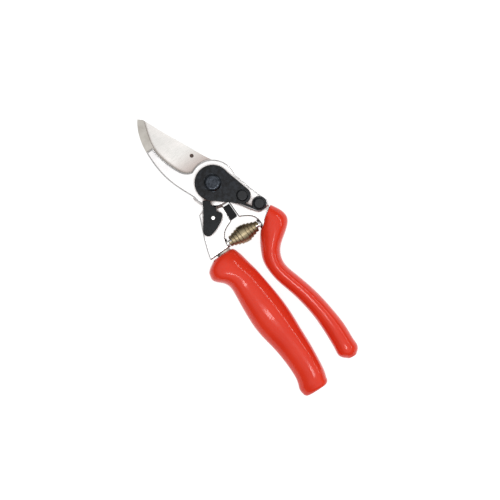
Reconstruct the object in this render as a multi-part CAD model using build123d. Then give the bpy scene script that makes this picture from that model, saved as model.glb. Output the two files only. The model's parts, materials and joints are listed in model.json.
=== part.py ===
from build123d import *
import math
import os

# Bypass pruning shears with a revolving finger grip, about 210 mm long. Millimetres.
# The shears lie flat on the XY plane with +Z up. The origin is on the pivot axis, at the flat back face of
# the pivot bolt's head. +Y runs from the handles to the blades and is also the axis of the revolving grip.
# The jaws are closed. The rear lever carries the cutting blade and the revolving grip. The front lever,
# which crosses it at the pivot, carries the hook and the palm grip, and opens by turning about +Z.

# ---------------------------------------------------------------- clearances
FLAT_GAP = 0.05  # between flat faces that slide on each other
PIN_GAP = 0.03  # radial, between a pin and the hole that it turns in
SIDE_GAP = 1.4  # between the two forgings where one passes round the other
REST_GAP = 0.35  # between a piece and a stop on the other lever

# ---------------------------------------------------------------- heights through the pivot
BOLT_HEAD_THICK = 3.2
WASHER_THICK = 0.5
EYE_THICK = 5.3
BLADE_THICK = 3.0
COUNTER_THICK = 3.0
PLATE_THICK = 2.0
NUT_DOME_HEIGHT = 3.2

REAR_EYE_LOW = BOLT_HEAD_THICK + WASHER_THICK + FLAT_GAP
BLADE_LOW = REAR_EYE_LOW + EYE_THICK
BLADE_TOP = BLADE_LOW + BLADE_THICK
COUNTER_LOW = BLADE_TOP + FLAT_GAP
COUNTER_TOP = COUNTER_LOW + COUNTER_THICK
FRONT_EYE_TOP = COUNTER_TOP + EYE_THICK
PLATE_TOP = FRONT_EYE_TOP + PLATE_THICK
NUT_TOP = PLATE_TOP + NUT_DOME_HEIGHT

# ---------------------------------------------------------------- pivot
EYE_R = 15.3
BLADE_EYE_R = 14.8
BOLT_R = 4.0
BOLT_FLAT = 3.4  # half the distance across the flats that key the bolt to the front lever
BOLT_HEAD_R = 8.0
SPANNER_HOLE_R = 1.0
SPANNER_HOLE_ARM = 5.2
SPANNER_HOLE_DEPTH = 1.8
BUSH_WALL = 1.5
BUSH_R = BOLT_R + PIN_GAP + BUSH_WALL
WASHER_R = 9.0
NUT_HEX_R = 6.2
NUT_DOME_R = 5.6
NUT_OPENING_R = 2.7
BOLT_END_HEIGHT = 1.2  # of the bolt's threaded end above the lock plate
BOLT_SLOT = 0.9
PLATE_R = 11.6
PLATE_RIB_COUNT = 36
PLATE_ARM_R = 5.4  # round the plate's first screw
PLATE_RING_R = 4.7  # round its second screw
PLATE_RAIL = 1.4  # width of the rail between them

# ---------------------------------------------------------------- levers
GRIP_MID = 12.5  # height of the handles' middle plane
WEB_THICK = 10.0
WEB_LOW = GRIP_MID - WEB_THICK / 2
WEB_TOP = GRIP_MID + WEB_THICK / 2
FORGING_EDGE = 1.0  # rounding of the forgings' edges
FORGING_CORNER = 0.5  # rounding of the corners of the forgings' outlines
EYE_EDGE = 1.2  # rounding of the front lever's eye, rib and hook
RIVET_R = 1.6

# ---------------------------------------------------------------- screws, catch and bumper
PLATE_SCREWS = [(11.0, -17.5), (17.1, -28.0)]
PLATE_SCREW_R = 3.9
PLATE_SCREW_HEAD = 1.8
SCREW_SHANK_R = 2.0
SCREW_DEPTH = 7.0
CATCH_PIN = (-12.7, -18.7)
CATCH_PIN_R = 1.1
CATCH_OVER = 2.0  # thickness of the catch's nose, which lies over the front lever's eye
CATCH_LOW = WEB_TOP + FLAT_GAP
CATCH_STEP = FRONT_EYE_TOP + FLAT_GAP
CATCH_TOP = CATCH_STEP + CATCH_OVER
DETENT_ARM = 5.0  # from the catch's pin to its detent ball
DETENT_BALL_R = 1.1
BUMPER_THICK = 3.2
BUMPER_STEM_R = 1.5

# ---------------------------------------------------------------- revolving grip
AXLE_X = -20.0
AXLE_R = 3.0
AXLE_TOP_Y = -29.0
COLLAR_Y = -41.3  # top face of the grip's collar
GRIP_END_Y = -148.5
GRIP_BUSH_WALL = 1.2
GRIP_BORE_R = AXLE_R + PIN_GAP + GRIP_BUSH_WALL
GRIP_BUSH_LENGTH = 12.0
THRUST_WASHER_R = WEB_THICK / 2 - 0.2
THRUST_WASHER_THICK = 1.2
LEVER_END_Y = COLLAR_Y + FLAT_GAP + THRUST_WASHER_THICK
END_RECESS_R = 5.0
END_RECESS_DEPTH = 5.7
END_RECESS_Y = GRIP_END_Y + END_RECESS_DEPTH
AXLE_END_Y = END_RECESS_Y - FLAT_GAP
END_WASHER_THICK = 1.0
END_SCREW_HEAD_R = 3.2
END_SCREW_HEAD = 1.6
END_CAP_THICK = 2.2

# ---------------------------------------------------------------- main spring
SPRING_LEFT = (-13.8, -37.4)
SPRING_RIGHT = (9.1, -38.9)
SPRING_MID_R = 6.0
SPRING_END_R = 2.8
SPRING_WALL = 1.1  # more than the step in radius from one turn to the next
SPRING_TURNS = 9
STUD_R = 1.5
STUD_LENGTH = 3.4
SEAT_R = 3.4
SEAT_DEPTH = 2.0


def prism(face, low, high):
    """A flat face drawn on the XY plane, as a solid between two heights."""
    return Pos(0, 0, low) * extrude(face, high - low)


def post(x, y, radius, low, high):
    """An upright cylinder."""
    return Pos(x, y, (low + high) / 2) * Cylinder(radius, high - low)


def along_y(radius, y_low, y_high):
    """A cylinder on the revolving grip's axis."""
    return Pos(AXLE_X, (y_low + y_high) / 2, GRIP_MID) * Rot(90, 0, 0) * Cylinder(radius, y_high - y_low)


def closed(*curves):
    """The face inside curves that meet end to end."""
    return make_face(Curve() + list(curves))


def polar(radius, degrees, centre=(0, 0)):
    """The point at an angle round a centre, counted from +X."""
    angle = math.radians(degrees)
    return (centre[0] + radius * math.cos(angle), centre[1] + radius * math.sin(angle))


def rounded(solid, height, radius):
    """The solid with the edges that lie flat at one height rounded."""
    return fillet(solid.edges().filter_by_position(Axis.Z, height - 0.01, height + 0.01), radius)


# ---------------------------------------------------------------- jaws
HOOK_TIP_OUTER = (-16.4, 62.2)
HOOK_TIP_INNER = (-13.4, 59.6)
HOOK_OUTER = [(-20.4, 55.6), (-22.9, 48.0), (-24.2, 38.0), (-24.0, 26.5), (-21.9, 15.6), (-18.3, 6.0)]
HOOK_ROOT = polar(EYE_R, 184)
HOOK_INNER = [(-16.6, 50.0), (-18.3, 41.0), (-17.0, 30.8), (-13.8, 21.3), (-10.6, 16.2)]
HOOK_HEEL = polar(EYE_R, 113)
FORGING_TIP_Y = 40.7  # where the aluminium behind the hook's steel ends
STEEL_PROUD = 0.7  # how far the steel stands out past the aluminium along the hook's hollow edge
COUNTER_ROOT_Y = 12.5
COUNTER_RIVETS = [(-20.9, 35.5), (-19.4, 25.5), (-15.9, 16.8)]

BLADE_TIP = (-13.6, 59.8)
BLADE_SPINE = [(-11.4, 55.0), (-6.9, 44.6), (-2.0, 34.6), (2.6, 24.6), (6.2, 17.0)]
BLADE_HEEL = polar(BLADE_EYE_R, 48)
BLADE_EDGE = [(-17.6, 55.0), (-20.2, 47.5), (-20.9, 38.5), (-19.6, 28.0), (-17.0, 18.0)]
BLADE_EDGE_ROOT = polar(BLADE_EYE_R, 158)
BLADE_BEVEL = 5.0
BLADE_HOLE = (-1.0, 22.9)
BLADE_HOLE_R = 1.3
BLADE_SCREWS = [(-6.4, 10.6), (4.8, 11.0)]


def hook_face():
    """Front view of the hook, with the steel's hollow edge, and the eye's left side."""
    return closed(
        Spline(HOOK_TIP_OUTER, *HOOK_OUTER, HOOK_ROOT),
        ThreePointArc(HOOK_ROOT, polar(EYE_R, 298), HOOK_HEEL),
        Spline(HOOK_HEEL, *reversed(HOOK_INNER), HOOK_TIP_INNER),
        Line(HOOK_TIP_INNER, HOOK_TIP_OUTER),
    )


def above(y):
    """A tall block that takes in everything past a given distance along +Y."""
    return Pos(0, y + 100, GRIP_MID) * Box(200, 200, 60)


def counter_blade_blank():
    """The hook's hardened steel before its rivet holes."""
    plate = prism(hook_face(), COUNTER_LOW, COUNTER_TOP) & above(COUNTER_ROOT_Y)
    return plate - post(0, 0, EYE_R, COUNTER_LOW - 1, COUNTER_TOP + 1)


def counter_rivet_posts():
    """The rivets that hold the hook's steel to its forging."""
    return [post(x, y, RIVET_R, COUNTER_LOW, COUNTER_TOP + 2.2) for x, y in COUNTER_RIVETS]


def blade_outline():
    """Front view of the cutting blade without its round base."""
    return closed(
        Spline(BLADE_TIP, *BLADE_SPINE, BLADE_HEEL),
        ThreePointArc(BLADE_HEEL, polar(BLADE_EYE_R, 283), BLADE_EDGE_ROOT),
        Spline(BLADE_EDGE_ROOT, *reversed(BLADE_EDGE), BLADE_TIP),
    )


def blade_screw_posts():
    """The screws that hold the blade, with their heads at the back."""
    screws = []
    for x, y in BLADE_SCREWS:
        shank = post(x, y, RIVET_R, REAR_EYE_LOW, BLADE_TOP - 0.4)
        head = Pos(x, y, REAR_EYE_LOW + 0.8) * Cone(3.0, RIVET_R, 1.6)
        screws.append(shank + head)
    return screws


def cutting_blade():
    """The blade, ground on its back face, which leaves a flat face against the hook."""
    blade = prism(blade_outline(), BLADE_LOW, BLADE_TOP)
    low_end = (BLADE_TIP[0] - 0.2, BLADE_TIP[1] + 0.4)
    edge = Spline(polar(BLADE_EYE_R + 2, 158), *reversed(BLADE_EDGE), low_end)
    cut_path = edge.trim(0.06, 1.0)
    start = cut_path @ 0
    along = cut_path % 0
    across = Plane(origin=(start.X, start.Y, BLADE_LOW), x_dir=(along.Y, -along.X, 0), z_dir=along)
    top = BLADE_THICK - 0.3
    outline = Polyline((-3, -1), (BLADE_BEVEL, -1), (BLADE_BEVEL, 0), (0, top), (-3, top), close=True)
    wedge = make_face(outline)
    blade -= sweep(across * wedge, path=cut_path)
    blade -= post(0, 0, BUSH_R, BLADE_LOW - 1, BLADE_TOP + 1)
    blade -= post(*BLADE_HOLE, BLADE_HOLE_R, BLADE_LOW - 1, BLADE_TOP + 1)
    return blade - blade_screw_posts()


# ---------------------------------------------------------------- front lever
ARM_OUTER = [(13.4, 0.6), (14.4, -2.4), (16.1, -7.7), (18.2, -15.9), (20.7, -23.6), (22.6, -28.9)]
RIB_INNER = [(14.4, -32.9), (11.4, -29.8), (7.4, -23.4), (2.8, -17.4)]
ARM_INNER_TOP = (1.35, -16.2)
ARM_INNER_LOW = (1.35, -27.6)
SPRING_POCKET_RIGHT = [(6.0, -30.0), (9.2, -33.0), (10.6, -37.3), (10.0, -41.6)]
TANG_WIDE = 4.6
TANG_THICK = 7.0
PALM_SECTIONS = [  # inner edge, outer edge and half depth, from the top end down
    ((11.7, -40.1), (23.0, -33.0), 7.6),
    ((8.2, -42.4), (26.2, -39.0), 9.0),
    ((5.3, -45.8), (27.0, -45.4), 9.6),
    ((2.5, -50.0), (23.2, -50.6), 9.8),
    ((0.2, -54.2), (17.8, -54.6), 9.8),
    ((-1.6, -58.2), (12.9, -58.4), 9.8),
    ((-2.6, -62.6), (9.8, -62.8), 9.8),
    ((-2.8, -68.0), (8.4, -68.6), 9.8),
    ((-1.9, -76.0), (9.9, -77.0), 9.7),
    ((0.9, -87.0), (13.0, -88.2), 9.6),
    ((3.2, -99.0), (15.5, -100.4), 9.6),
    ((4.3, -112.0), (17.0, -113.4), 9.6),
    ((3.9, -125.0), (17.5, -126.4), 9.4),
    ((3.0, -135.0), (16.9, -136.4), 9.0),
    ((3.9, -140.8), (15.6, -142.0), 8.0),
    ((6.6, -143.6), (13.2, -144.3), 5.8),
]


def palm_centre(index):
    """The middle of one of the palm grip's sections."""
    inner, outer, _ = PALM_SECTIONS[index]
    return ((inner[0] + outer[0]) / 2, (inner[1] + outer[1]) / 2, GRIP_MID)


def tang():
    """The bar of the front lever that runs down inside the palm grip."""
    path = Spline(*[palm_centre(i) for i in range(1, len(PALM_SECTIONS) - 1)])
    along = path % 0
    across = Plane(origin=path @ 0, x_dir=(along.Y, -along.X, 0), z_dir=along)
    return sweep(across * Rectangle(TANG_WIDE, TANG_THICK), path=path)


def arm_web_face():
    """Front view of the front lever's arm from the eye to the palm grip."""
    pocket_end = SPRING_POCKET_RIGHT[-1]
    return closed(
        Spline(*ARM_OUTER),
        Line(ARM_OUTER[-1], (20.6, -36.2)),
        Line((20.6, -36.2), (14.0, -42.6)),
        Line((14.0, -42.6), pocket_end),
        Spline(pocket_end, *reversed(SPRING_POCKET_RIGHT[:-1]), ARM_INNER_LOW),
        Line(ARM_INNER_LOW, ARM_INNER_TOP),
        Line(ARM_INNER_TOP, ARM_OUTER[0]),
    )


def arm_rib_face():
    """Front view of the raised rib along the arm."""
    return closed(
        Spline(*ARM_OUTER),
        Line(ARM_OUTER[-1], (21.6, -32.4)),
        Line((21.6, -32.4), RIB_INNER[0]),
        Spline(*RIB_INNER),
        Line(RIB_INNER[-1], ARM_OUTER[0]),
    )


def spring_frame(end, other):
    """A plane at one end of the main spring that looks along its axis towards the other end."""
    along = Vector(other[0] - end[0], other[1] - end[1], 0)
    return Plane(origin=(*end, GRIP_MID), x_dir=(0, 0, 1), z_dir=along)


def spring_seat(end, other):
    """The round boss of a lever that an end of the main spring rests on."""
    return spring_frame(end, other) * Pos(0, 0, -SEAT_DEPTH / 2) * Cylinder(SEAT_R, SEAT_DEPTH)


def spring_stud(end, other):
    """The steel peg that holds an end of the main spring."""
    length = STUD_LENGTH + 2.0
    return spring_frame(end, other) * Pos(0, 0, STUD_LENGTH - length / 2) * Cylinder(STUD_R, length)


def keyed_bore(low, high):
    """The bolt's shank where two flats key it to the front lever."""
    return post(0, 0, BOLT_R, low, high) & Pos(0, 0, (low + high) / 2) * Box(2 * BOLT_FLAT, 20, high - low)


def plate_screw_shanks():
    """The shanks of the lock plate's screws."""
    return [post(x, y, SCREW_SHANK_R, PLATE_TOP - SCREW_DEPTH, PLATE_TOP) for x, y in PLATE_SCREWS]


def plate_screws():
    """The two domed screws of the lock plate."""
    high = PLATE_TOP + PLATE_SCREW_HEAD
    heads = [rounded(post(x, y, PLATE_SCREW_R, PLATE_TOP, high), high, 1.2) for x, y in PLATE_SCREWS]
    return [head + shank for head, shank in zip(heads, plate_screw_shanks())]


def web_block(face):
    """The flat part of a lever, with its corners rounded and its edges rounded at both faces."""
    face = fillet(face.vertices(), FORGING_CORNER)
    return rounded(rounded(prism(face, WEB_LOW, WEB_TOP), WEB_TOP, FORGING_EDGE), WEB_LOW, FORGING_EDGE)


def front_lever():
    """The forging with the hook, the eye, the arm and the tang of the palm grip."""
    hook = prism(hook_face(), COUNTER_LOW, FRONT_EYE_TOP) - above(FORGING_TIP_Y)
    hollow = Spline(HOOK_HEEL, *reversed(HOOK_INNER), HOOK_TIP_INNER)
    start = hollow @ 0
    height = (COUNTER_TOP + FRONT_EYE_TOP) / 2
    across = Plane(origin=(start.X, start.Y, height), x_dir=(0, 0, 1), z_dir=hollow % 0)
    hook -= sweep(across * Rectangle(EYE_THICK, 2 * STEEL_PROUD), path=hollow)
    hook = rounded(hook, FRONT_EYE_TOP, EYE_EDGE)
    eye = post(0, 0, EYE_R, COUNTER_LOW, FRONT_EYE_TOP)
    rib = prism(arm_rib_face(), COUNTER_LOW, FRONT_EYE_TOP)
    lever = rounded(eye + rib, FRONT_EYE_TOP, EYE_EDGE)
    web = web_block(arm_web_face()) - post(0, 0, EYE_R + SIDE_GAP, WEB_LOW - 1, COUNTER_LOW)
    lever += hook
    lever += web
    lever += spring_seat(SPRING_RIGHT, SPRING_LEFT)
    lever += tang()
    lever -= counter_blade_blank()
    lever -= counter_rivet_posts()
    lever -= keyed_bore(COUNTER_LOW - 1, FRONT_EYE_TOP + 1)
    lever -= plate_screw_shanks()
    return lever - spring_stud(SPRING_RIGHT, SPRING_LEFT)


# ---------------------------------------------------------------- rear lever
WEB_OUTER = [polar(EYE_R, 172), (-17.2, -4.2), (-18.4, -9.0), (-20.8, -15.4), (-24.5, -23.7), (-28.0, -33.2)]
WEB_END_OUTER = (-30.0, LEVER_END_Y)
WEB_END_INNER = (-15.3, LEVER_END_Y)
SPRING_POCKET_LEFT = [(-15.2, -38.6), (-14.0, -33.6), (-11.6, -30.4), (-7.9, -28.3), (-4.4, -27.0)]
WEB_INNER_TOP = (-3.1, -15.2)
STEP_LINE = [(-24.0, -13.6), (-17.0, -12.0), (-11.0, -9.4)]  # where the web's upper half begins
BACK_RIB = [
    (-13.6, -7.0), (-18.3, -16.0), (-21.6, -24.6), (-23.6, -33.0), (-18.4, -33.0), (-11.0, -24.0),
    (-4.0, -13.0),
]
TONGUE = [
    polar(EYE_R, 142), (-12.4, 16.6), (-8.0, 23.0), (-2.4, 26.4), (2.0, 22.2), (5.2, 16.6), polar(EYE_R, 48)
]


def web_face():
    """Front view of the rear lever from the eye to the revolving grip."""
    return closed(
        Spline(*WEB_OUTER, WEB_END_OUTER),
        Line(WEB_END_OUTER, WEB_END_INNER),
        Line(WEB_END_INNER, SPRING_POCKET_LEFT[0]),
        Spline(*SPRING_POCKET_LEFT),
        Line(SPRING_POCKET_LEFT[-1], WEB_INNER_TOP),
        Line(WEB_INNER_TOP, WEB_OUTER[0]),
    )


def back_rib_face():
    """View of the raised rib on the rear lever's back."""
    return closed(
        Spline(*BACK_RIB[:4]),
        Line(BACK_RIB[3], BACK_RIB[4]),
        Spline(*BACK_RIB[4:]),
        Line(BACK_RIB[-1], BACK_RIB[0]),
    )


def tongue_face():
    """View of the support behind the blade."""
    return closed(Spline(*TONGUE), ThreePointArc(TONGUE[-1], polar(EYE_R, 275), TONGUE[0]))


def upper_half_clearance():
    """The room above the shear plane that the front lever's eye and hook turn in."""
    high = FRONT_EYE_TOP + 5
    shoulder = closed(
        Line(STEP_LINE[0], STEP_LINE[1]),
        Line(STEP_LINE[1], STEP_LINE[2]),
        Line(STEP_LINE[2], (0, 0)),
        Line((0, 0), (-40, 10)),
        Line((-40, 10), STEP_LINE[0]),
    )
    return prism(shoulder, BLADE_TOP, high) + post(0, 0, EYE_R + SIDE_GAP, BLADE_TOP, high)


def detent_centre():
    """The catch's detent ball, seen from the front."""
    return polar(DETENT_ARM, 210, CATCH_PIN)


def rear_lever():
    """The forging that holds the blade, the catch and the axle of the revolving grip."""
    plate = post(0, 0, EYE_R, REAR_EYE_LOW, BLADE_LOW)
    plate += prism(tongue_face(), REAR_EYE_LOW, BLADE_LOW)
    plate += prism(back_rib_face(), REAR_EYE_LOW, BLADE_LOW)
    lever = rounded(plate, REAR_EYE_LOW, FORGING_EDGE)
    web = web_block(web_face())
    web -= post(0, 0, BLADE_EYE_R, BLADE_LOW, FRONT_EYE_TOP)
    web -= upper_half_clearance()
    lever += web
    lever += spring_seat(SPRING_LEFT, SPRING_RIGHT) & above(LEVER_END_Y)
    lever -= along_y(AXLE_R, LEVER_END_Y - 1, AXLE_TOP_Y)
    lever -= post(0, 0, BUSH_R, REAR_EYE_LOW - 1, BLADE_LOW + 1)
    lever -= blade_screw_posts()
    lever -= catch_pin_shank()
    lever -= detent_bore()
    lever -= bumper_stem()
    return lever - spring_stud(SPRING_LEFT, SPRING_RIGHT)


# ---------------------------------------------------------------- catch
CATCH_NOSE = [(-7.9, -8.9), (-9.6, -6.9), (-12.2, -5.9)]
CATCH_OUTLINE = [
    CATCH_NOSE[2], (-14.8, -10.4), (-18.0, -15.2), (-21.2, -19.6), (-23.4, -23.3), (-23.2, -25.4), (-21.2, -27.0),
    (-18.0, -26.8), (-12.6, -24.8), (-8.2, -22.1), (-6.5, -19.9), (-7.2, -18.0), (-8.3, -16.6), (-7.9, -15.4),
    (-7.6, -13.9), (-8.7, -11.4), CATCH_NOSE[0],
]
PAD_OUTLINE = [(-20.7, -19.9), (-22.6, -23.2), (-22.4, -25.1), (-20.9, -26.2), (-18.0, -26.0), (-16.6, -23.0)]
PAD_HEIGHT = 0.8
PAD_RIB_COUNT = 4
CATCH_PIN_HEAD = 0.7
DETENT_SPRING_LENGTH = 3.6


def catch_pin_shank():
    """The catch's pin from the rear lever to the catch's face."""
    return post(*CATCH_PIN, CATCH_PIN_R, WEB_TOP - SCREW_DEPTH, CATCH_TOP + FLAT_GAP)


def catch_pin():
    """The pin that the catch turns on, with its head."""
    high = CATCH_TOP + FLAT_GAP + CATCH_PIN_HEAD
    head = post(*CATCH_PIN, CATCH_PIN_R + 0.3, CATCH_TOP + FLAT_GAP, high)
    return catch_pin_shank() + rounded(head, high, 0.4)


def detent_bore():
    """The blind hole for the detent ball and its spring."""
    x, y = detent_centre()
    floor = CATCH_LOW + 0.4 - 2 * DETENT_BALL_R - DETENT_SPRING_LENGTH
    return post(x, y, DETENT_BALL_R, floor, WEB_TOP + 1)


def detent_ball():
    """The ball that holds the catch where it is put."""
    x, y = detent_centre()
    return Pos(x, y, CATCH_LOW + 0.4 - DETENT_BALL_R) * Sphere(DETENT_BALL_R)


def detent_spring():
    """The spring under the detent ball, closed up as a sleeve."""
    x, y = detent_centre()
    top = CATCH_LOW + 0.4 - 2 * DETENT_BALL_R
    low = top - DETENT_SPRING_LENGTH
    return post(x, y, DETENT_BALL_R, low, top) - post(x, y, DETENT_BALL_R - 0.35, low, top)


def detent_groove():
    """The groove under the catch that the detent ball runs in."""
    high = CATCH_LOW + 0.8
    outer = post(*CATCH_PIN, DETENT_ARM + 1.3, CATCH_LOW - 1, high)
    ring = outer - post(*CATCH_PIN, DETENT_ARM - 1.3, CATCH_LOW - 1, high)
    sector = closed(
        Line(CATCH_PIN, polar(30, 160, CATCH_PIN)),
        Line(polar(30, 160, CATCH_PIN), polar(30, 230, CATCH_PIN)),
        Line(polar(30, 230, CATCH_PIN), CATCH_PIN),
    )
    return ring & prism(sector, CATCH_LOW - 1, high)


def lock_catch():
    """The thumb catch that holds the levers shut, on the rear lever with its nose over the front one."""
    outline = closed(Spline(*CATCH_OUTLINE), Polyline(*CATCH_NOSE))
    outline = fillet(outline.vertices(), 0.5)
    nose_room = post(0, 0, PLATE_R + REST_GAP, CATCH_LOW - 1, CATCH_TOP + 1)
    body = prism(outline, CATCH_LOW, CATCH_TOP) - nose_room
    body = rounded(body, CATCH_TOP, 0.4)
    body -= post(0, 0, EYE_R + SIDE_GAP, CATCH_LOW - 1, CATCH_STEP)
    pad = prism(make_face(Spline(*PAD_OUTLINE, periodic=True)), CATCH_TOP - 1, CATCH_TOP + PAD_HEIGHT)
    grooves = []
    for i in range(PAD_RIB_COUNT):
        distance = 5.6 + 1.7 * i
        x, y = polar(distance, 216, CATCH_PIN)
        grooves.append(Pos(x, y, CATCH_TOP + PAD_HEIGHT) * Rot(0, 0, 36) * Box(0.7, 12, 1.2))
    body += pad - grooves
    body -= post(*CATCH_PIN, CATCH_PIN_R + PIN_GAP, CATCH_LOW - 1, CATCH_TOP + 1)
    return body - detent_groove()


# ---------------------------------------------------------------- bumper
BUMPER_TOP = (-1.35, -15.9)
BUMPER_LOW_Y = -26.4


def bumper_stem():
    """The stem that holds the bumper in the rear lever."""
    return Pos(-6.0, -21.6, GRIP_MID) * Rot(0, 90, 0) * Cylinder(BUMPER_STEM_R, 7.0)


def bumper():
    """The rubber block between the levers, which cushions the end of the cut."""
    right = ARM_INNER_TOP[0] - REST_GAP
    slope = (WEB_INNER_TOP[0] - SPRING_POCKET_LEFT[-1][0]) / (WEB_INNER_TOP[1] - SPRING_POCKET_LEFT[-1][1])
    top_left = (WEB_INNER_TOP[0] + slope * (BUMPER_TOP[1] - WEB_INNER_TOP[1]), BUMPER_TOP[1])
    low_left = (WEB_INNER_TOP[0] + slope * (BUMPER_LOW_Y - WEB_INNER_TOP[1]), BUMPER_LOW_Y)
    face = make_face(Polyline(top_left, (right, BUMPER_TOP[1]), (right, BUMPER_LOW_Y), low_left, close=True))
    block = prism(face, WEB_LOW + 1, WEB_TOP - 1)
    block = chamfer(block.edges().filter_by(Axis.Z).sort_by(Axis.X)[-2:], 0.8)
    return block - post(0, 0, EYE_R + SIDE_GAP, WEB_LOW, WEB_TOP) + bumper_stem()


# ---------------------------------------------------------------- pivot
def pivot_bush():
    """The bush in the rear lever and the blade that the bolt turns in."""
    sleeve = post(0, 0, BUSH_R, REAR_EYE_LOW, BLADE_TOP)
    return sleeve - post(0, 0, BOLT_R + PIN_GAP, REAR_EYE_LOW - 1, BLADE_TOP + 1)


def pivot_bolt():
    """The bolt, keyed to the front lever, with two spanner holes in its head and a slot across its end."""
    head = rounded(post(0, 0, BOLT_HEAD_R, 0, BOLT_HEAD_THICK), 0, 0.6)
    head -= [post(side * SPANNER_HOLE_ARM, 0, SPANNER_HOLE_R, -1, SPANNER_HOLE_DEPTH) for side in (-1, 1)]
    shank = post(0, 0, BOLT_R, BOLT_HEAD_THICK, COUNTER_LOW)
    end = PLATE_TOP + BOLT_END_HEIGHT
    thread = post(0, 0, BOLT_FLAT, FRONT_EYE_TOP, end)
    slot = Pos(0, 0, end) * Rot(0, 0, 35) * Box(2 * BOLT_R, BOLT_SLOT, BOLT_END_HEIGHT)
    return head + shank + keyed_bore(COUNTER_LOW, FRONT_EYE_TOP) + thread - slot


def spring_washer():
    """The thin washer between the bolt's head and the rear lever."""
    return post(0, 0, WASHER_R, BOLT_HEAD_THICK, BOLT_HEAD_THICK + WASHER_THICK) - post(0, 0, BOLT_R, 0, 10)


def nut_hexagon(radius, low, high):
    """The nut's hexagon between two heights."""
    return prism(RegularPolygon(radius, 6), low, high)


def pivot_nut():
    """The domed nut, open in the middle, where the bolt's end shows."""
    dome = rounded(post(0, 0, NUT_DOME_R, PLATE_TOP, NUT_TOP), NUT_TOP, NUT_DOME_HEIGHT * 0.6)
    dome -= post(0, 0, NUT_OPENING_R, PLATE_TOP, NUT_TOP + 1)
    nut = nut_hexagon(NUT_HEX_R, FRONT_EYE_TOP, PLATE_TOP) + dome
    return nut - post(0, 0, BOLT_FLAT, FRONT_EYE_TOP - 1, PLATE_TOP + BOLT_END_HEIGHT)


def plate_face():
    """Front view of the lock plate: a disc, an arm to the first screw and a rail to the second's ring."""
    first, second = PLATE_SCREWS
    side = math.degrees(math.atan2(first[1], first[0]))
    arm = closed(
        Line(polar(PLATE_R, side + 62), polar(PLATE_ARM_R, side + 72, first)),
        ThreePointArc(polar(PLATE_ARM_R, side + 72, first), polar(PLATE_ARM_R, side, first),
                      polar(PLATE_ARM_R, side - 72, first)),
        Line(polar(PLATE_ARM_R, side - 72, first), polar(PLATE_R, side - 62)),
        Line(polar(PLATE_R, side - 62), polar(PLATE_R, side + 62)),
    )
    along = math.degrees(math.atan2(second[1] - first[1], second[0] - first[0]))
    rail = closed(
        Line(polar(PLATE_ARM_R, along - 90, first), polar(PLATE_RING_R, along - 90, second)),
        Line(polar(PLATE_RING_R, along - 90, second), polar(PLATE_RING_R - PLATE_RAIL, along - 90, second)),
        Line(
            polar(PLATE_RING_R - PLATE_RAIL, along - 90, second),
            polar(PLATE_ARM_R - PLATE_RAIL, along - 90, first),
        ),
        Line(polar(PLATE_ARM_R - PLATE_RAIL, along - 90, first), polar(PLATE_ARM_R, along - 90, first)),
    )
    return Circle(PLATE_R) + arm + rail + Pos(*second) * Circle(PLATE_RING_R)


def lock_plate():
    """The plate that keeps the nut from turning, with short grooves round its rim."""
    plate = rounded(prism(plate_face(), FRONT_EYE_TOP, PLATE_TOP), PLATE_TOP, 0.4)
    grooves = []
    for i in range(PLATE_RIB_COUNT):
        angle = 360 * i / PLATE_RIB_COUNT
        x, y = polar(PLATE_R - 2.2, angle)
        grooves.append(Pos(x, y, PLATE_TOP) * Rot(0, 0, angle) * Box(2.6, 0.6, 0.5))
    plate -= grooves
    plate -= nut_hexagon(NUT_HEX_R, FRONT_EYE_TOP - 1, PLATE_TOP + 1)
    return plate - plate_screw_shanks()


# ---------------------------------------------------------------- main spring
def main_spring():
    """The volute spring, with each turn drawn as a plain ring that overlaps the next one."""
    span = math.dist(SPRING_LEFT, SPRING_RIGHT) - FLAT_GAP
    step = span / SPRING_TURNS
    half = (SPRING_TURNS - 1) / 2
    outline = []
    inside = []
    for i in range(SPRING_TURNS):
        from_middle = abs(i - half) / half
        radius = SPRING_MID_R + (SPRING_END_R - SPRING_MID_R) * from_middle
        outline += [(radius, i * step), (radius, (i + 1) * step)]
        inside += [(radius - SPRING_WALL, i * step), (radius - SPRING_WALL, (i + 1) * step)]
    section = make_face(Polyline(*outline, *reversed(inside), close=True))
    coil = revolve(Plane.XZ * section, Axis.Z)
    return spring_frame(SPRING_LEFT, SPRING_RIGHT) * coil


# ---------------------------------------------------------------- grips
GRIP_SECTIONS = [  # part of the length from the collar, outer edge, inner edge and half depth
    (0.0, -28.0, -14.8, 7.2),
    (0.010, -30.2, -13.7, 8.8),
    (0.022, -32.5, -12.9, 10.0),
    (0.042, -35.1, -12.0, 11.0),
    (0.067, -36.2, -11.3, 11.8),
    (0.095, -36.4, -10.8, 12.2),
    (0.120, -34.7, -10.3, 12.2),
    (0.146, -31.9, -9.8, 12.0),
    (0.180, -29.8, -9.1, 11.7),
    (0.230, -29.6, -8.4, 11.5),
    (0.320, -30.6, -7.4, 11.9),
    (0.400, -31.3, -6.7, 12.2),
    (0.460, -31.5, -6.4, 12.3),
    (0.550, -30.8, -6.6, 12.0),
    (0.650, -29.0, -7.3, 11.4),
    (0.750, -28.2, -7.9, 11.0),
    (0.845, -28.2, -9.0, 10.9),
    (0.905, -29.3, -9.9, 11.1),
    (0.945, -30.8, -10.8, 11.0),
    (0.972, -30.7, -11.9, 10.4),
    (0.989, -28.9, -12.8, 9.2),
    (1.0, -26.8, -13.6, 7.4),
]


def grip_section(part_of_length, left, right, depth):
    """One oval section of the revolving grip."""
    y = COLLAR_Y + part_of_length * (GRIP_END_Y - COLLAR_Y)
    plane = Plane(origin=((left + right) / 2, y, GRIP_MID), x_dir=(1, 0, 0), z_dir=(0, -1, 0))
    return plane * Ellipse((right - left) / 2, depth)


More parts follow.
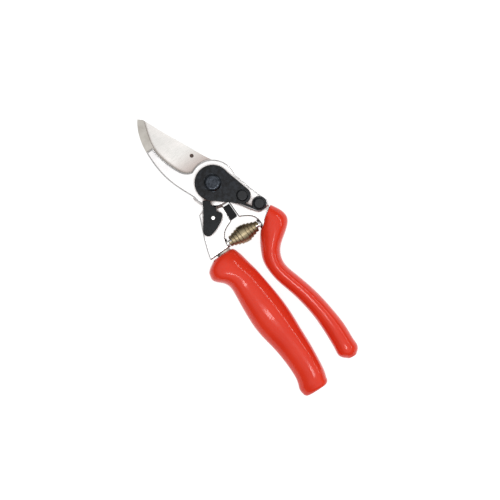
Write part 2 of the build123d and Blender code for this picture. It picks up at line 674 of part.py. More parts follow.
def revolving_grip():
    """The sleeve that turns on the axle."""
    sleeve = loft([grip_section(*row) for row in GRIP_SECTIONS])
    sleeve -= along_y(GRIP_BORE_R, GRIP_END_Y - 1, COLLAR_Y + 1)
    return sleeve - along_y(END_RECESS_R, GRIP_END_Y - 1, END_RECESS_Y)


def grip_axle():
    """The steel axle, fixed in the rear lever."""
    bore = along_y(RIVET_R, AXLE_END_Y - 1, AXLE_END_Y + 8)
    return along_y(AXLE_R, AXLE_END_Y, AXLE_TOP_Y) - bore


def grip_bushes():
    """The two bushes pressed into the ends of the revolving grip."""
    ends = [(COLLAR_Y - GRIP_BUSH_LENGTH, COLLAR_Y), (END_RECESS_Y, END_RECESS_Y + GRIP_BUSH_LENGTH)]
    bore = along_y(AXLE_R + PIN_GAP, GRIP_END_Y, 0)
    return [along_y(GRIP_BORE_R, low, high) - bore for low, high in ends]


def thrust_washer():
    """The washer between the rear lever and the revolving grip."""
    low = COLLAR_Y + FLAT_GAP
    return along_y(THRUST_WASHER_R, low, LEVER_END_Y) - along_y(AXLE_R, low - 1, LEVER_END_Y + 1)


def end_washer():
    """The washer that keeps the grip on its axle."""
    low = AXLE_END_Y - END_WASHER_THICK
    return along_y(END_RECESS_R - REST_GAP, low, AXLE_END_Y) - along_y(RIVET_R, low - 1, AXLE_END_Y + 1)


def axle_screw():
    """The screw in the end of the axle."""
    top = AXLE_END_Y - END_WASHER_THICK
    return along_y(END_SCREW_HEAD_R, top - END_SCREW_HEAD, top) + along_y(RIVET_R, top, AXLE_END_Y + 8)


def end_cap():
    """The plug that closes the end of the revolving grip."""
    return along_y(END_RECESS_R, GRIP_END_Y, GRIP_END_Y + END_CAP_THICK)


def palm_section(inner, outer, depth):
    """One oval section of the palm grip."""
    across = Vector(outer[0] - inner[0], outer[1] - inner[1], 0)
    middle = ((inner[0] + outer[0]) / 2, (inner[1] + outer[1]) / 2, GRIP_MID)
    plane = Plane(origin=middle, x_dir=across, z_dir=(across.Y, -across.X, 0))
    return plane * Ellipse(across.length / 2, depth)


def palm_grip(lever):
    """The curved grip moulded round the front lever's tang."""
    shape = loft([palm_section(*row) for row in PALM_SECTIONS])
    return shape - lever - spring_stud(SPRING_RIGHT, SPRING_LEFT)


# ---------------------------------------------------------------- build
front = front_lever()
parts = {
    "front_lever": front,
    "counter_blade": counter_blade_blank() - counter_rivet_posts(),
    "counter_blade_rivets": counter_rivet_posts(),
    "palm_grip": palm_grip(front),
    "spring_stud_right": spring_stud(SPRING_RIGHT, SPRING_LEFT),
    "lock_plate": lock_plate(),
    "lock_plate_screws": plate_screws(),
    "pivot_bolt": pivot_bolt(),
    "pivot_nut": pivot_nut(),
    "spring_washer": spring_washer(),
    "rear_lever": rear_lever(),
    "cutting_blade": cutting_blade(),
    "blade_screws": blade_screw_posts(),
    "pivot_bush": pivot_bush(),
    "lock_catch": lock_catch(),
    "catch_pin": catch_pin(),
    "detent_ball": detent_ball(),
    "detent_spring": detent_spring(),
    "bumper": bumper(),
    "spring_stud_left": spring_stud(SPRING_LEFT, SPRING_RIGHT),
    "main_spring": main_spring(),
    "revolving_grip": revolving_grip(),
    "grip_bushes": grip_bushes(),
    "grip_axle": grip_axle(),
    "thrust_washer": thrust_washer(),
    "end_washer": end_washer(),
    "axle_screw": axle_screw(),
    "end_cap": end_cap(),
}

os.makedirs("parts", exist_ok=True)
for name, shape in parts.items():
    solids = shape if isinstance(shape, list) else [shape]
    export_step(Compound(children=solids) if len(solids) > 1 else solids[0], f"parts/{name}.step")
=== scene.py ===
import json
import logging
import math
from dataclasses import dataclass
from enum import Enum

import bpy
import numpy as np
from mathutils import Matrix


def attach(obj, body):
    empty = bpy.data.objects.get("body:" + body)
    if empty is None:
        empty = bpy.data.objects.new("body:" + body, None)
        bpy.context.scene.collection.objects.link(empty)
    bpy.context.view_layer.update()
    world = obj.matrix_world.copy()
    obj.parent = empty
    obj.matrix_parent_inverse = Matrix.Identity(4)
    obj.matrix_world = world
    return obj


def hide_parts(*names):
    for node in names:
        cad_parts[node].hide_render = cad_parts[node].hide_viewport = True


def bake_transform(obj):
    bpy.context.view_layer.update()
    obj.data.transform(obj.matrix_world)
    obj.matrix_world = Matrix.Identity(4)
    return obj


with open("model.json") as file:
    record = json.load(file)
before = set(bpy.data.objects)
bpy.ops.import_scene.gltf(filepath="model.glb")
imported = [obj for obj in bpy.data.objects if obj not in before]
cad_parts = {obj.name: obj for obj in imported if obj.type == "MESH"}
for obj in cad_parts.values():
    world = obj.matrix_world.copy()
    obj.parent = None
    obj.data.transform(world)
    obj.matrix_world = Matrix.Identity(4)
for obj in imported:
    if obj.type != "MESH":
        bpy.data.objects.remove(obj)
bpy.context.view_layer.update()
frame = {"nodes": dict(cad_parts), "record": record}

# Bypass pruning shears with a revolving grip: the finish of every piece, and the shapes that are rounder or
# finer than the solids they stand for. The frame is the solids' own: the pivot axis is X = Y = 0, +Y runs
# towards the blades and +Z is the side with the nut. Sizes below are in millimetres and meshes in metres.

MM = 0.001
LOG = logging.getLogger("shears")


# ------------------------------------------------------------------ names
class Body(Enum):
    """The bodies that move on their own."""

    BLADE_SIDE = "blade_side"
    HOOK_SIDE = "hook_side"
    REVOLVING_GRIP = "revolving_grip_body"
    CATCH = "lock_catch_body"


class Grain(Enum):
    """How the fine marks of a surface run."""

    EVEN = (1.0, 1.0, 1.0)  # the same every way, as blasted or moulded
    ACROSS = (0.06, 1.0, 1.0)  # long marks along X, as from a grinding wheel across a blade
    ALONG = (1.0, 0.05, 1.0)  # long marks along Y, as on drawn bar


# ------------------------------------------------------------------ meshes
def closed_grid_faces(rows: int, columns: int, wrap_rows: bool) -> np.ndarray:
    """Quads of a grid whose columns wrap round, and whose rows wrap round too if asked.

    Args:
        rows: number of rows.
        columns: points in a row; the last joins the first.
        wrap_rows: whether the last row joins the first.

    Returns:
        An array of vertex numbers, four to a face.
    """
    row = np.arange(rows if wrap_rows else rows - 1)[:, None]
    column = np.arange(columns)[None, :]
    after = (row + 1) % rows
    beside = (column + 1) % columns
    corners = [row * columns + column, row * columns + beside,
               after * columns + beside, after * columns + column]
    return np.stack([np.broadcast_to(c, (len(row), columns)) for c in corners], axis=-1).reshape(-1, 4)


def make_object(name: str, points: np.ndarray, faces: list, smooth: bool = True) -> bpy.types.Object:
    """A mesh object at the origin from points in millimetres, with its faces turned outwards.

    Args:
        name: the piece's name.
        points: vertex positions, three to a row.
        faces: vertex numbers, a sequence for each face.
        smooth: whether the faces are shaded smooth.

    Returns:
        The linked object.
    """
    mesh = bpy.data.meshes.new(name)
    mesh.from_pydata((points * MM).tolist(), [], [list(map(int, face)) for face in faces])
    mesh.validate()
    corners = np.empty(len(mesh.vertices) * 3)
    mesh.vertices.foreach_get("co", corners)
    mesh.calc_loop_triangles()
    triangles = np.empty(len(mesh.loop_triangles) * 3, dtype=np.int64)
    mesh.loop_triangles.foreach_get("vertices", triangles)
    a, b, c = corners.reshape(-1, 3)[triangles.reshape(-1, 3)].transpose(1, 0, 2)
    if np.einsum("ij,ij->i", a, np.cross(b, c)).sum() < 0:
        mesh.flip_normals()
    mesh.polygons.foreach_set("use_smooth", np.full(len(mesh.polygons), smooth))
    mesh.update()
    piece = bpy.data.objects.new(name, mesh)
    bpy.context.scene.collection.objects.link(piece)
    return piece


def skin(name: str, rows: np.ndarray, wrap_rows: bool = False) -> bpy.types.Object:
    """A closed skin over rows of points; if the rows don't wrap, each end is closed to a pole at its middle.

    Args:
        name: the piece's name.
        rows: an array of rows by points by three.
        wrap_rows: whether the last row joins the first.

    Returns:
        The object.
    """
    count, columns, _ = rows.shape
    points = rows.reshape(-1, 3)
    faces = closed_grid_faces(count, columns, wrap_rows).tolist()
    if not wrap_rows:
        points = np.vstack([points, rows[0].mean(axis=0), rows[-1].mean(axis=0)])
        near, far = count * columns, count * columns + 1
        ring = np.arange(columns)
        beside = (ring + 1) % columns
        last = (count - 1) * columns
        faces += np.stack([beside, ring, np.full(columns, near)], axis=1).tolist()
        faces += np.stack([last + ring, last + beside, np.full(columns, far)], axis=1).tolist()
    return make_object(name, points, faces)


def natural_spline(rows: np.ndarray, count: int) -> np.ndarray:
    """Points on the natural cubic spline through rows of values, spaced by the distance between the rows.

    On each stretch the value is a cubic whose second derivatives at both ends solve the usual tridiagonal
    equations, with none at the two outer ends.

    Args:
        rows: values to pass through, one row each; the first three columns measure the distance.
        count: how many points to return.

    Returns:
        An array of count rows.
    """
    step = np.linalg.norm(np.diff(rows[:, :3], axis=0), axis=1)
    at = np.concatenate([[0.0], np.cumsum(step)])
    size = len(rows)
    system = np.eye(size)
    right = np.zeros_like(rows)
    inner = np.arange(1, size - 1)
    system[inner, inner - 1] = step[:-1]
    system[inner, inner] = 2 * (step[:-1] + step[1:])
    system[inner, inner + 1] = step[1:]
    slope = np.diff(rows, axis=0) / step[:, None]
    right[1:-1] = 6 * np.diff(slope, axis=0)
    bend = np.linalg.solve(system, right)
    where = at[-1] * np.linspace(0.0, 1.0, count)
    i = np.clip(np.searchsorted(at, where, side="right") - 1, 0, size - 2)
    h = step[i][:, None]
    t = ((where - at[i]) / step[i])[:, None]
    low = (1 - t) * rows[i] + t * rows[i + 1]
    return low + h * h / 6 * (((1 - t) ** 3 - (1 - t)) * bend[i] + (t ** 3 - t) * bend[i + 1])


def oval(columns: int, power: float = 2.0) -> np.ndarray:
    """Points round a unit superellipse: |x|^power + |y|^power = 1.

    Args:
        columns: number of points.
        power: 2 for an ellipse, more for a squarer section.

    Returns:
        An array of columns by two.
    """
    angle = np.linspace(0, 2 * math.pi, columns, endpoint=False)
    x, y = np.cos(angle), np.sin(angle)
    return np.stack([np.sign(x) * np.abs(x) ** (2 / power), np.sign(y) * np.abs(y) ** (2 / power)], axis=1)


# ------------------------------------------------------------------ materials
def linear(hex_colour: str) -> tuple[float, float, float, float]:
    """The linear colour of an sRGB hex value, with alpha 1."""
    srgb = np.array([int(hex_colour[i:i + 2], 16) for i in (1, 3, 5)]) / 255
    value = np.where(srgb <= 0.04045, srgb / 12.92, ((srgb + 0.055) / 1.055) ** 2.4)
    return (*value.tolist(), 1.0)


def add_node(tree: bpy.types.NodeTree, kind: str, settings: dict | None = None,
             inputs: dict | None = None) -> bpy.types.Node:
    """Adds a node, sets its properties, and sets or links its inputs.

    Args:
        tree: the node tree.
        kind: the node's type name.
        settings: property names and values.
        inputs: socket names or numbers, each with a value or another node's output socket.

    Returns:
        The node.
    """
    node = tree.nodes.new(kind)
    for key, value in (settings or {}).items():
        setattr(node, key, value)
    for key, value in (inputs or {}).items():
        if isinstance(value, bpy.types.NodeSocket):
            tree.links.new(value, node.inputs[key])
        else:
            node.inputs[key].default_value = value
    return node


@dataclass(frozen=True)
class Finish:
    """A real material and how its surface was made, with painted shade near other surfaces if it asks for it.
    """

    name: str
    slot: str
    colour: str
    second: str  # the tone that it drifts to
    metallic: float
    roughness: float
    roughness_drift: float
    patch_mm: float  # size of the patches of the second tone
    grain_mm: float  # size of the surface's fine marks
    grain_depth_mm: float
    grain: Grain = Grain.EVEN
    coat: float = 0.0
    coat_roughness: float = 0.05
    painted_shade: str | None = None  # painted shade: the colour that the surface is darkened to where other surfaces stand close
    # how far the painted shade reaches from nearby surfaces
    painted_shade_mm: float = 2.0
    specular: float = 0.5

    def paint(self, tree: bpy.types.NodeTree, place: bpy.types.NodeSocket) -> bpy.types.NodeSocket:
        """The colour: two tones in soft patches, with painted shade darkening them near other surfaces if the
        finish asks for it.

        Args:
            tree: the material's nodes.
            place: the position on the piece, in metres.

        Returns:
            The colour's socket.
        """
        patches = add_node(tree, "ShaderNodeTexNoise", {}, {
            "Vector": place, "Scale": 1 / (self.patch_mm * MM), "Detail": 4.0, "Roughness": 0.55})
        spread = add_node(tree, "ShaderNodeMapRange", {"interpolation_type": "SMOOTHSTEP"}, {
            "Value": patches.outputs["Fac"], "From Min": 0.35, "From Max": 0.68})
        tones = add_node(tree, "ShaderNodeMix", {"data_type": "RGBA"}, {
            0: spread.outputs["Result"], 6: linear(self.colour), 7: linear(self.second)})
        if self.painted_shade is None:
            return tones.outputs[2]
        # painted shade: ambient occlusion mixes the colour towards the shade colour near other surfaces
        shade_occlusion = add_node(tree, "ShaderNodeAmbientOcclusion", {"samples": 8}, {
            "Distance": self.painted_shade_mm * MM})
        depth = add_node(tree, "ShaderNodeMapRange", {"interpolation_type": "SMOOTHSTEP"}, {
            "Value": shade_occlusion.outputs["AO"], "From Min": 0.35, "From Max": 0.95, "To Min": 1.0, "To Max": 0.0})
        return add_node(tree, "ShaderNodeMix", {"data_type": "RGBA"}, {
            0: depth.outputs["Result"], 6: tones.outputs[2], 7: linear(self.painted_shade)}).outputs[2]

    def material(self) -> bpy.types.Material:
        """Builds the finish's material.

        Returns:
            The material.
        """
        material = bpy.data.materials.new(self.name)
        material.use_nodes = True
        tree = material.node_tree
        tree.nodes.clear()
        place = add_node(tree, "ShaderNodeTexCoord").outputs["Object"]
        along = add_node(tree, "ShaderNodeMapping", {}, {"Vector": place, "Scale": self.grain.value})
        marks = add_node(tree, "ShaderNodeTexNoise", {}, {
            "Vector": along.outputs["Vector"], "Scale": 1 / (self.grain_mm * MM),
            "Detail": 3.0, "Roughness": 0.6})
        polish = add_node(tree, "ShaderNodeMapRange", {}, {
            "Value": marks.outputs["Fac"], "From Min": 0.3, "From Max": 0.7,
            "To Min": self.roughness - self.roughness_drift, "To Max": self.roughness + self.roughness_drift})
        bump = add_node(tree, "ShaderNodeBump", {}, {
            "Height": marks.outputs["Fac"], "Strength": 1.0, "Distance": self.grain_depth_mm * MM})
        shader = add_node(tree, "ShaderNodeBsdfPrincipled", {}, {
            "Base Color": self.paint(tree, place), "Metallic": self.metallic,
            "Roughness": polish.outputs["Result"], "Normal": bump.outputs["Normal"],
            "Coat Weight": self.coat, "Coat Roughness": self.coat_roughness,
            "Specular IOR Level": self.specular})
        add_node(tree, "ShaderNodeOutputMaterial", {}, {"Surface": shader.outputs["BSDF"]})
        return material


@dataclass(frozen=True)
class GroundBlade(Finish):
    """Blade steel with painted shade: its tone is painted darker and browner towards the pivot."""

    # painted shade: the darker, browner tone painted in towards the pivot
    heel_shade: str = "#9E938E"
    heel_from_mm: float = 30.0
    heel_to_mm: float = 13.0

    def paint(self, tree: bpy.types.NodeTree, place: bpy.types.NodeSocket) -> bpy.types.NodeSocket:
        """The two tones, with the heel's painted shade mixed in smoothly between two distances along Y.

        Args:
            tree: the material's nodes.
            place: the position on the piece, in metres.

        Returns:
            The colour's socket.
        """
        tones = super().paint(tree, place)
        axes = add_node(tree, "ShaderNodeSeparateXYZ", {}, {"Vector": place})
        near = add_node(tree, "ShaderNodeMapRange", {"interpolation_type": "SMOOTHSTEP"}, {
            "Value": axes.outputs["Y"], "From Min": self.heel_to_mm * MM, "From Max": self.heel_from_mm * MM,
            "To Min": 1.0, "To Max": 0.0})
        # painted shade: darker and browner towards the pivot
        return add_node(tree, "ShaderNodeMix", {"data_type": "RGBA"}, {
            0: near.outputs["Result"], 6: tones, 7: linear(self.heel_shade)}).outputs[2]


# Drop-forged aluminium, shot-blasted fine and clear anodised: a pale satin skin, with painted shade darkening
# it where pieces meet.
FORGED_ALUMINIUM = Finish("forged_aluminium_blasted", "forged_aluminium", "#DDDBDA", "#D2D0D0", 0.95,
                          0.30, 0.04, 9.0, 0.35, 0.012, painted_shade="#4A3E3A", painted_shade_mm=3.0)
# Hardened carbon steel, ground flat across and lightly polished: warm pale grey with fine cross marks, with
# painted shade near other surfaces and towards the pivot.
BLADE_STEEL = GroundBlade("hardened_steel_ground", "blade_steel", "#D5D1CE", "#C6C4C1", 1.0, 0.30, 0.06,
                          16.0, 0.30, 0.008, Grain.ACROSS, painted_shade="#8A7F78", painted_shade_mm=2.0)
# Hardened steel of the hook's insert, ground and left uncoated: darker and browner than the blade, with
# painted shade near other surfaces.
HOOK_STEEL = Finish("hardened_steel_hook_insert", "counter_steel", "#ABA7A1", "#98938C", 1.0, 0.36,
                    0.06, 9.0, 0.30, 0.010, Grain.ALONG, painted_shade="#5E5650", painted_shade_mm=1.2)
# Vinyl, moulded over the tang and the sleeve: a wet-looking gloss with a very slight ripple.
GRIP_VINYL = Finish("vinyl_moulded_orange_red", "orange_grip", "#E73A22", "#E2351F", 0.0, 0.17, 0.02,
                    26.0, 3.2, 0.004, coat=0.15, coat_roughness=0.08, specular=0.22)
CAP_VINYL = Finish("vinyl_moulded_cap", "grip_end_plastic", "#D2321E", "#C42C1A", 0.0, 0.28, 0.03, 8.0,
                   1.6, 0.012, specular=0.25)
# Glass-filled nylon, moulded: blue-black, clouded by dust, with a fine spark-eroded grain.
BLACK_NYLON = Finish("nylon_moulded_black", "black_plate", "#090A0D", "#23272D", 0.0, 0.30, 0.08, 2.4,
                     0.40, 0.03, specular=0.16)
CATCH_NYLON = Finish("nylon_moulded_catch", "catch_black", "#0A0B0E", "#15181C", 0.0, 0.18, 0.05, 3.0,
                     0.45, 0.015, specular=0.20)
# Carbon steel, turned and blacked, with a soft metallic sheen.
BLACKED_STEEL = Finish("steel_turned_blacked", "black_screws", "#15171B", "#101215", 0.3, 0.28, 0.06,
                       4.0, 0.3, 0.01, specular=0.3)
BLACKED_NUT = Finish("steel_turned_blacked_nut", "black_nut", "#3C4046", "#26292E", 1.0, 0.22, 0.06,
                     1.2, 0.3, 0.01, specular=0.4)
# Steel, turned and nickel plated: clean and bright.
NICKEL_STEEL = Finish("steel_turned_nickel", "bright_steel", "#E4E3E0", "#D2D1CE", 1.0, 0.24, 0.04, 5.0,
                      0.25, 0.005)
# Sintered bronze, oiled.
SINTERED_BRONZE = Finish("bronze_sintered", "bronze", "#B98F56", "#A07A46", 1.0, 0.45, 0.05, 3.0, 0.3,
                         0.02)
# Acetal, turned: milky white and slightly waxy, with painted shade near other surfaces.
ACETAL = Finish("acetal_turned", "bearing_plastic", "#E4DFD3", "#D8D3C7", 0.0, 0.45, 0.04, 6.0, 0.5,
                0.01, painted_shade="#6E6058", painted_shade_mm=1.5)
# Nitrile rubber, moulded: dull black.
RUBBER = Finish("rubber_moulded_black", "rubber_black", "#17181A", "#111214", 0.0, 0.60, 0.05, 4.0, 0.5,
                0.03, specular=0.2)
# Spring steel strip, rolled and yellow chromated: olive gold and smooth, with painted shade as dark lines
# between the turns.
CHROMATED_STRIP = Finish("spring_strip_chromated", "spring_steel_gold", "#A3967A", "#837358", 1.0, 0.40,
                         0.03, 14.0, 2.4, 0.0005, painted_shade="#1F180F", painted_shade_mm=0.9)

FINISHES = [FORGED_ALUMINIUM, BLADE_STEEL, HOOK_STEEL, GRIP_VINYL, CAP_VINYL, BLACK_NYLON, CATCH_NYLON,
            BLACKED_STEEL, BLACKED_NUT, NICKEL_STEEL, SINTERED_BRONZE, ACETAL, RUBBER, CHROMATED_STRIP]


def dress(piece: bpy.types.Object, material: bpy.types.Material) -> None:
    """Gives a piece one material all over.

    Args:
        piece: the object.
        material: its material.
    """
    if piece.material_slots:
        for slot in piece.material_slots:
            slot.material = material
    else:
        piece.data.materials.append(material)


def settle(piece: bpy.types.Object, body: Body, finish: Finish, material: bpy.types.Material,
           *nodes: str) -> bpy.types.Object:
    """Dresses a new piece, sets it on its body and lets it stand for solids.

    Args:
        piece: the object.
        body: the body that it moves with.
        finish: its finish.
        material: the finish's material.
        nodes: the solids that it stands for.

    Returns:
        The same object.
    """
    dress(piece, material)
    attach(piece, body.value)
    if nodes:
        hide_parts(*nodes)
    LOG.info("%s: %d faces, %s", piece.name, len(piece.data.polygons), finish.name)
    return piece


Materials = dict[str, bpy.types.Material]
GRIP_RINGS = 170  # along a grip, between its rounded ends
END_RINGS = 8  # in the quarter circle that rounds an end


# ------------------------------------------------------------------ sub-assemblies
@dataclass
class RevolvingGrip:
    """The thick finger grip that turns on its axle."""

    axle_x: float = -20.0
    middle: float = 12.5
    collar_y: float = -41.3
    end_y: float = -148.5
    bore_radius: float = 4.23
    recess_radius: float = 5.0
    recess_y: float = -142.8
    collar_turn: float = 1.6  # how far the outside turns in at the collar
    end_turn: float = 2.6  # and at the end
    crest_slope: float = -0.055  # how the thickest line crosses the grip from the outer side to the inner
    crest_zero_y: float = -91.0
    columns: int = 112
    stations: tuple = (  # distance along the axle, outer edge, inner edge, half depth
        (-42.0, -29.8, -13.9, 8.5), (-43.4, -32.2, -12.9, 9.8), (-45.6, -35.0, -12.1, 11.0),
        (-48.2, -36.1, -11.4, 11.8), (-51.4, -36.4, -10.8, 12.2), (-54.2, -34.7, -10.3, 12.2),
        (-57.0, -31.9, -9.8, 12.0), (-60.6, -29.8, -9.1, 11.7), (-66.0, -29.5, -8.4, 11.4),
        (-75.5, -30.5, -7.4, 11.8), (-84.0, -31.2, -6.7, 12.2), (-91.0, -31.5, -6.4, 12.3),
        (-100.5, -30.8, -6.6, 12.0), (-111.0, -29.1, -7.3, 11.4), (-121.5, -28.2, -7.9, 11.0),
        (-132.0, -28.2, -9.0, 10.9), (-138.5, -29.4, -9.9, 11.1), (-142.6, -30.8, -10.8, 11.0),
        (-145.4, -30.6, -11.8, 10.4))

    def rings(self) -> np.ndarray:
        """Every ring of the sleeve: the outside from the collar down, the end's recess, and the bore back up.

        The outside is an ellipse whose edges and depth follow natural splines along the axle. Its thickest
        line is moved sideways by the crest's slope times the distance from the belly, times the sine squared
        round the section. At both ends the outside turns in to a flat face by a quarter circle.

        Returns:
            An array of rings by points by three.
        """
        given = np.array([(y, 0.0, 0.0, left, right, depth) for y, left, right, depth in self.stations])
        rows = natural_spline(given, GRIP_RINGS)
        y, left, right, depth = rows[:, 0], rows[:, 3], rows[:, 4], rows[:, 5]
        turn = np.linspace(0, math.pi / 2, END_RINGS)
        top_y = self.collar_y + (y[0] - self.collar_y) * np.sin(turn[:-1])
        top_in = self.collar_turn * (1 - np.sin(turn[:-1]))
        end_y = y[-1] + (self.end_y - y[-1]) * np.sin(turn[1:])
        end_in = self.end_turn * (1 - np.cos(turn[1:]))
        y = np.concatenate([top_y, y, end_y])
        left = np.concatenate([left[0] + top_in, left, left[-1] + end_in])
        right = np.concatenate([right[0] - top_in, right, right[-1] - end_in])
        depth = np.concatenate([depth[0] - top_in, depth, depth[-1] - end_in])
        round_ = oval(self.columns)
        crest = self.crest_slope * (y - self.crest_zero_y)
        x = ((left + right) / 2)[:, None] + ((right - left) / 2)[:, None] * round_[:, 0]
        x += crest[:, None] * round_[:, 1] ** 2
        z = self.middle + depth[:, None] * round_[:, 1]
        outside = np.stack([x, np.broadcast_to(y[:, None], x.shape), z], axis=-1)
        inner = [(self.recess_radius, self.end_y), (self.recess_radius, self.recess_y),
                 (self.bore_radius, self.recess_y), (self.bore_radius, self.collar_y)]
        rings = [np.stack([self.axle_x + r * round_[:, 0], np.full(self.columns, at),
                           self.middle + r * round_[:, 1]], axis=-1) for r, at in inner]
        return np.concatenate([outside, np.stack(rings)])

    def build(self, materials: Materials) -> None:
        """Makes the sleeve and dresses it."""
        sleeve = skin("finger_grip_sleeve", self.rings(), wrap_rows=True)
        settle(sleeve, Body.REVOLVING_GRIP, GRIP_VINYL, materials[GRIP_VINYL.name], "revolving_grip")


@dataclass
class PalmGrip:
    """The slim curved grip on the front lever's tang."""

    middle: float = 12.5
    end_out: float = 0.5  # how far both rounded ends run past the outer stations
    top_loss: float = 0.10  # the part of the section lost in rounding the top
    tip_left: float = 0.15  # the part of the section left at the tip's pole
    columns: int = 88
    stations: tuple = (  # inner edge, outer edge, half depth
        (11.7, -40.1, 23.0, -33.0, 7.6), (8.2, -42.4, 26.2, -39.0, 9.0), (5.3, -45.8, 27.0, -45.4, 9.6),
        (2.5, -50.0, 23.2, -50.6, 9.8), (0.2, -54.2, 17.8, -54.6, 9.8), (-1.6, -58.2, 12.9, -58.4, 9.8),
        (-2.6, -62.6, 9.8, -62.8, 9.8), (-2.8, -68.0, 8.4, -68.6, 9.8), (-1.9, -76.0, 9.9, -77.0, 9.7),
        (0.9, -87.0, 13.0, -88.2, 9.6), (3.2, -99.0, 15.5, -100.4, 9.6), (4.3, -112.0, 17.0, -113.4, 9.6),
        (3.9, -125.0, 17.5, -126.4, 9.4), (3.0, -135.0, 16.9, -136.4, 9.0), (3.9, -140.8, 15.6, -142.0, 8.0),
        (6.6, -143.4, 13.2, -144.0, 5.8))

    def rings(self) -> np.ndarray:
        """Ellipses carried along the grip, rounded in at both ends.

        Returns:
            An array of rings by points by three.
        """
        given = np.array(self.stations)
        middles = np.column_stack([(given[:, 0] + given[:, 2]) / 2, (given[:, 1] + given[:, 3]) / 2,
                                   np.zeros(len(given)), given])
        rows = natural_spline(middles, GRIP_RINGS)[:, 3:]
        inner, outer, depth = rows[:, 0:2], rows[:, 2:4], rows[:, 4]
        centre, half = (inner + outer) / 2, (outer - inner) / 2
        turn = np.linspace(0, math.pi / 2, END_RINGS)[1:]
        start_way = (centre[0] - centre[1]) / np.linalg.norm(centre[0] - centre[1])
        end_way = (centre[-1] - centre[-2]) / np.linalg.norm(centre[-1] - centre[-2])
        top = (1.0 - self.top_loss * (1 - np.cos(turn)))[::-1]
        tip = self.tip_left + (1 - self.tip_left) * np.cos(turn)
        centre = np.concatenate([centre[0] + self.end_out * np.sin(turn)[::-1, None] * start_way, centre,
                                 centre[-1] + self.end_out * np.sin(turn)[:, None] * end_way])
        half = np.concatenate([half[0] * top[:, None], half, half[-1] * tip[:, None]])
        depth = np.concatenate([depth[0] * top, depth, depth[-1] * tip])
        round_ = oval(self.columns)
        flat = centre[:, None, :] + half[:, None, :] * round_[None, :, 0:1]
        z = self.middle + depth[:, None] * round_[:, 1]
        return np.concatenate([flat, z[..., None]], axis=-1)

    def build(self, materials: Materials) -> None:
        """Makes the grip and dresses it."""
        grip = skin("palm_grip_cover", self.rings())
        settle(grip, Body.HOOK_SIDE, GRIP_VINYL, materials[GRIP_VINYL.name], "palm_grip")


@dataclass
class VoluteSpring:
    """The strip wound into two cones, base to base, between the levers."""

    left: tuple[float, float] = (-13.8, -37.4)
    right: tuple[float, float] = (9.1, -38.9)
    middle: float = 12.5
    end_radius: float = 2.7
    mid_radius: float = 5.95
    strip_width: float = 4.4
    strip_thick: float = 0.6
    end_width: float = 0.62  # the strip's width at the ends of the spring, as part of its full width
    blunting: float = 0.004  # rounds the place where the two cones meet
    turns: float = 8.0
    steps: int = 760
    section_points: int = 14
    section_squareness: float = 5.0

    def rings(self) -> np.ndarray:
        """The strip's rounded section carried along a helix whose radius grows to the middle, then shrinks.

        With t from 0 to 1 along the strip, the angle is 2 pi times turns times t, the place along the axis
        goes evenly from end to end, and the radius is the end radius plus the rest times
        (1 - the root of ((2t - 1) squared plus the blunting)). The strip narrows towards both ends.

        Returns:
            An array of sections by points by three.
        """
        t = np.linspace(0, 1, self.steps)
        angle = 2 * math.pi * self.turns * t
        start, end = np.array([*self.left, self.middle]), np.array([*self.right, self.middle])
        length = np.linalg.norm(end - start)
        axis = (end - start) / length
        side = np.array([0.0, 0.0, 1.0])
        other = np.cross(axis, side)
        grow = 1 - np.sqrt((2 * t - 1) ** 2 + self.blunting)
        radius = self.end_radius + (self.mid_radius - self.end_radius) * grow
        width = self.strip_width * (self.end_width + (1 - self.end_width) * grow)
        place = width / 2 + (length - width) * t
        out = np.cos(angle)[:, None] * side + np.sin(angle)[:, None] * other
        section = oval(self.section_points, self.section_squareness)
        along = section[:, 0][None, :] * (width / 2)[:, None] + place[:, None]
        away = section[:, 1][None, :] * self.strip_thick / 2 + radius[:, None]
        return start + along[..., None] * axis + away[..., None] * out[:, None, :]

    def build(self, materials: Materials) -> None:
        """Makes the spring, dresses it and lets it stand for the spring's solid."""
        spring = skin("volute_spring_strip", self.rings())
        dress(spring, materials[CHROMATED_STRIP.name])
        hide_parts("main_spring")
        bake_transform(spring)
        LOG.info("%s: %d faces, %s", spring.name, len(spring.data.polygons), CHROMATED_STRIP.name)


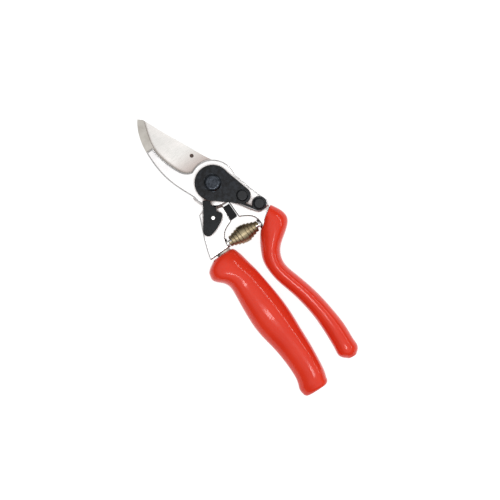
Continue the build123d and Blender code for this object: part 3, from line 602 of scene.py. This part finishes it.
@dataclass
class Studio:
    """The floor, the light and the camera."""

    view_centre: tuple[float, float] = (-5.1, -49.2)
    view_width: float = 325.0
    view_plane: float = 14.0
    lens: float = 100.0
    turn_degrees: float = -35.0
    floor_size: float = 4000.0
    floor_gap: float = 0.05  # below the lowest piece
    floor_glow: float = 0.90
    horizon: float = 0.08  # the surround's strength low down
    zenith: float = 1.14  # and overhead
    sensor_width: float = 36.0

    def floor(self) -> None:
        """A wide matt sheet with a slight mottle, which glows white as a light table does."""
        size = self.floor_size
        corners = size * np.array([(-1.0, -1.0, 0.0), (1.0, -1.0, 0.0), (1.0, 1.0, 0.0), (-1.0, 1.0, 0.0)])
        floor = make_object("floor", corners - (0, 0, self.floor_gap), [(0, 1, 2, 3)], smooth=False)
        paper = Finish("paper_floor", "", "#8A8A8A", "#868686", 0.0, 0.9, 0.02, 200.0, 4.0, 0.01,
                       specular=0.1).material()
        shader = next(node for node in paper.node_tree.nodes if node.type == "BSDF_PRINCIPLED")
        shader.inputs["Emission Color"].default_value = linear("#FFFFFF")
        shader.inputs["Emission Strength"].default_value = self.floor_glow
        dress(floor, paper)

    def lamp(self, name: str, place: tuple[float, float, float], target: tuple[float, float, float],
             size: tuple[float, float], watts: float) -> None:
        """A rectangular soft light that points at a target.

        Args:
            name: the light's name.
            place: its position in metres.
            target: what it points at, in metres.
            size: its width and height in metres.
            watts: its power.
        """
        data = bpy.data.lights.new(name, "AREA")
        data.shape = "RECTANGLE"
        data.size, data.size_y = size
        data.energy = watts
        lamp = bpy.data.objects.new(name, data)
        away = np.array(place) - np.array(target)
        z = away / np.linalg.norm(away)
        x = np.cross((0.0, 1.0, 0.0), z)
        x = x / np.linalg.norm(x)
        y = np.cross(z, x)
        lamp.matrix_world = Matrix(np.vstack([np.column_stack([x, y, z, place]), (0, 0, 0, 1)]).tolist())
        lamp.visible_camera = False
        bpy.context.scene.collection.objects.link(lamp)

    def sky(self) -> None:
        """An even surround, darker towards the horizon."""
        world = bpy.data.worlds.new("studio_surround")
        bpy.context.scene.world = world
        world.use_nodes = True
        tree = world.node_tree
        tree.nodes.clear()
        way = add_node(tree, "ShaderNodeTexCoord").outputs["Generated"]
        height = add_node(tree, "ShaderNodeSeparateXYZ", {}, {"Vector": way}).outputs["Z"]
        lift = add_node(tree, "ShaderNodeMapRange", {"interpolation_type": "SMOOTHSTEP"}, {
            "Value": height, "From Min": 0.35, "From Max": 0.90,
            "To Min": self.horizon, "To Max": self.zenith})
        light = add_node(tree, "ShaderNodeBackground", {}, {
            "Color": linear("#FFFFFF"), "Strength": lift.outputs["Result"]})
        add_node(tree, "ShaderNodeOutputWorld", {}, {"Surface": light.outputs["Background"]})

    def camera(self) -> None:
        """A camera straight above, turned about its own axis."""
        data = bpy.data.cameras.new("camera")
        data.lens = self.lens
        data.sensor_width = self.sensor_width
        data.clip_end = 20.0
        camera = bpy.data.objects.new("camera", data)
        distance = self.view_width * self.lens / data.sensor_width
        camera.location = [v * MM for v in (*self.view_centre, self.view_plane + distance)]
        camera.rotation_euler = (0.0, 0.0, math.radians(self.turn_degrees))
        bpy.context.scene.collection.objects.link(camera)
        bpy.context.scene.camera = camera

    def build(self) -> None:
        """Sets the stage."""
        self.floor()
        self.sky()
        self.lamp("overhead_softbox", (-0.035, -0.133, 0.92), (-0.01, -0.09, 0.02), (0.34, 0.08), 1.3)
        self.lamp("side_strip", (0.69, -0.09, 0.42), (0.0, -0.09, 0.02), (0.05, 0.70), 1.1)
        self.camera()
        scene = bpy.context.scene
        scene.view_settings.view_transform = "Standard"
        scene.view_settings.look = "None"
        LOG.info("studio ready")


def dress_solids(materials: Materials) -> None:
    """Gives every solid of the frame the material of its record slot."""
    by_slot = {finish.slot: materials[finish.name] for finish in FINISHES}
    for part in frame["record"]["subparts"]:
        piece = frame["nodes"][part["node"]]
        dress(piece, by_slot[part["material_slot"]])
        LOG.info("%s: %s", piece.name, part["material_slot"])


def main() -> None:
    """Builds the sub-assemblies in order, then the studio."""
    logging.basicConfig(level=logging.INFO, format="%(name)s: %(message)s")
    materials = {finish.name: finish.material() for finish in FINISHES}
    dress_solids(materials)
    for assembly in (RevolvingGrip(), PalmGrip(), VoluteSpring()):
        assembly.build(materials)
    Studio().build()


if __name__ == "__main__":
    main()
